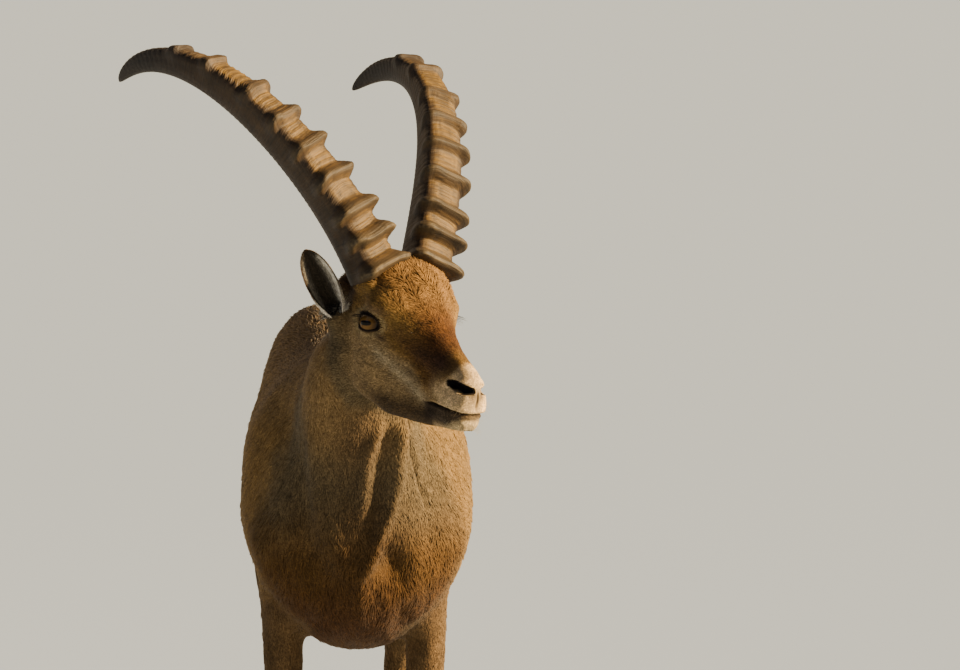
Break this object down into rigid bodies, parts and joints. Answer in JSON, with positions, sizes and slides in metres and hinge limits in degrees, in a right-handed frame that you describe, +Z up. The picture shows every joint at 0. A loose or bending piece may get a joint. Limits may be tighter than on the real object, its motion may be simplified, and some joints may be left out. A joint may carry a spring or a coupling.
{
  "type": "alpine_ibex",
  "caption": "Life-size alpine ibex, a young adult male in short summer coat, standing square with its head turned to its left, ridged horns and cloven hooves",
  "frame": {"origin": "The bottom centre of the bounding box, on the floor that the eight hoof soles stand on", "axes": "+Z up, -Y the way the body faces, +X the animal's left side; the head is turned towards +X"},
  "size_m": [0.4674, 1.2248, 1.2508],
  "materials": {
    "coat": "matte",
    "horn": "satin",
    "hoof": "satin",
    "eye": "gloss"
  },
  "bodies": {
    "root": {"torso": "coat", "neck": "coat", "head": "coat", "ear_left": "coat", "ear_right": "coat", "tail": "coat", "foreleg_left_upper": "coat", "foreleg_left_lower": "coat", "foreleg_right_upper": "coat", "foreleg_right_lower": "coat", "hindleg_left_upper": "coat", "hindleg_left_lower": "coat", "hindleg_right_upper": "coat", "hindleg_right_lower": "coat", "horn_left": "horn", "horn_right": "horn", "eye_left": "eye", "eye_right": "eye", "foreleg_left_hoof_left": "hoof", "foreleg_left_hoof_right": "hoof", "foreleg_left_dewclaw_left": "hoof", "foreleg_left_dewclaw_right": "hoof", "foreleg_right_hoof_left": "hoof", "foreleg_right_hoof_right": "hoof", "foreleg_right_dewclaw_left": "hoof", "foreleg_right_dewclaw_right": "hoof", "hindleg_left_hoof_left": "hoof", "hindleg_left_hoof_right": "hoof", "hindleg_left_dewclaw_left": "hoof", "hindleg_left_dewclaw_right": "hoof", "hindleg_right_hoof_left": "hoof", "hindleg_right_hoof_right": "hoof", "hindleg_right_dewclaw_left": "hoof", "hindleg_right_dewclaw_right": "hoof"}
  },
  "joints": []
}
